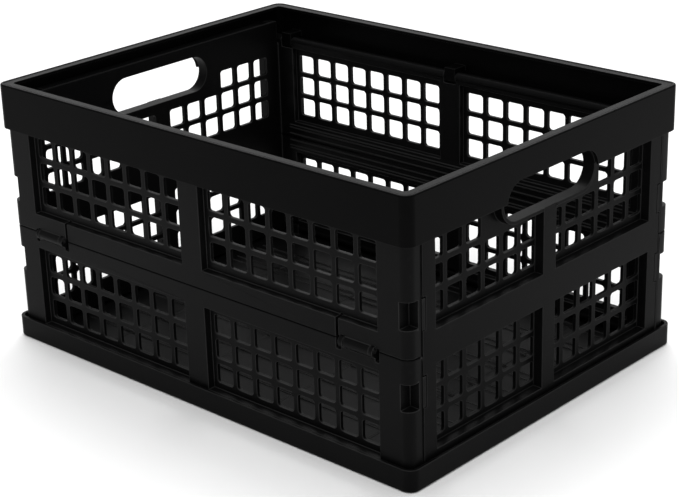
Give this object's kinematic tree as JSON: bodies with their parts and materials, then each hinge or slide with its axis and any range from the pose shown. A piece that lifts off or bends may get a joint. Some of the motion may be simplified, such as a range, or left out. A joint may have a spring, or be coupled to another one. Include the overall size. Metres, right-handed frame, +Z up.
{
  "type": "collapsible storage crate",
  "caption": "Rectangular black plastic crate with lattice walls; the ends swing in and up, then the long walls fold in at mid height so the rim drops onto the tray.",
  "frame": {"origin": "centre of the crate's footprint on the surface it stands on", "axes": "+X along the length towards the right end panel, -Y towards the front long wall, +Z up"},
  "size_m": [0.462, 0.348, 0.235],
  "materials": {
    "tray_plastic": "satin moulded polypropylene",
    "wall_plastic": "satin moulded polypropylene",
    "end_panel_plastic": "satin moulded polypropylene",
    "rim_plastic": "satin moulded polypropylene, fine texture",
    "hinge_pin_plastic": "smooth moulded nylon"
  },
  "bodies": {
    "tray": {"base_tray": "tray_plastic", "front_base_pin_left": "hinge_pin_plastic", "front_base_pin_centre": "hinge_pin_plastic", "front_base_pin_right": "hinge_pin_plastic", "back_base_pin_left": "hinge_pin_plastic", "back_base_pin_centre": "hinge_pin_plastic", "back_base_pin_right": "hinge_pin_plastic"},
    "front_lower_wall": {"front_lower_panel": "wall_plastic", "front_mid_pin_left": "hinge_pin_plastic", "front_mid_pin_right": "hinge_pin_plastic"},
    "front_upper_wall": {"front_upper_panel": "wall_plastic"},
    "back_lower_wall": {"back_lower_panel": "wall_plastic", "back_mid_pin_left": "hinge_pin_plastic", "back_mid_pin_right": "hinge_pin_plastic"},
    "back_upper_wall": {"back_upper_panel": "wall_plastic"},
    "rim": {"rim_frame": "rim_plastic", "front_rim_pin_left": "hinge_pin_plastic", "front_rim_pin_centre": "hinge_pin_plastic", "front_rim_pin_right": "hinge_pin_plastic", "back_rim_pin_left": "hinge_pin_plastic", "back_rim_pin_centre": "hinge_pin_plastic", "back_rim_pin_right": "hinge_pin_plastic", "right_end_pin_front": "hinge_pin_plastic", "right_end_pin_back": "hinge_pin_plastic", "left_end_pin_front": "hinge_pin_plastic", "left_end_pin_back": "hinge_pin_plastic"},
    "right_end": {"right_end_panel": "end_panel_plastic"},
    "left_end": {"left_end_panel": "end_panel_plastic"}
  },
  "joints": [
    {"name": "wall_fold", "type": "hinge", "parent": "tray", "child": "front_lower_wall", "pos_m": [0, -0.1602, 0.009], "axis": [-1, 0, 0], "range_deg": [0, 0.4]},
    {"name": "front_mid_hinge", "type": "hinge", "parent": "front_lower_wall", "child": "front_upper_wall", "pos_m": [0, -0.1708, 0.1062], "axis": [-1, 0, 0], "range_deg": [-0.8, 0]},
    {"name": "front_rim_hinge", "type": "hinge", "parent": "front_upper_wall", "child": "rim", "pos_m": [0, -0.1602, 0.2034], "axis": [-1, 0, 0], "range_deg": [0, 0.4]},
    {"name": "back_base_hinge", "type": "hinge", "parent": "tray", "child": "back_lower_wall", "pos_m": [0, 0.1602, 0.009], "axis": [1, 0, 0], "range_deg": [0, 0.4]},
    {"name": "back_mid_hinge", "type": "hinge", "parent": "back_lower_wall", "child": "back_upper_wall", "pos_m": [0, 0.1708, 0.1062], "axis": [1, 0, 0], "range_deg": [-0.8, 0]},
    {"name": "right_end_swing", "type": "hinge", "parent": "rim", "child": "right_end", "pos_m": [0.221, 0, 0.219], "axis": [0, 1, 0], "range_deg": [0, 90]},
    {"name": "left_end_swing", "type": "hinge", "parent": "rim", "child": "left_end", "pos_m": [-0.221, 0, 0.219], "axis": [0, -1, 0], "range_deg": [0, 90]}
  ],
  "couplings": [
    {"joint": "front_mid_hinge", "follows": "wall_fold", "ratio": -2},
    {"joint": "front_rim_hinge", "follows": "wall_fold", "ratio": 1},
    {"joint": "back_base_hinge", "follows": "wall_fold", "ratio": 1},
    {"joint": "back_mid_hinge", "follows": "wall_fold", "ratio": -2}
  ]
}
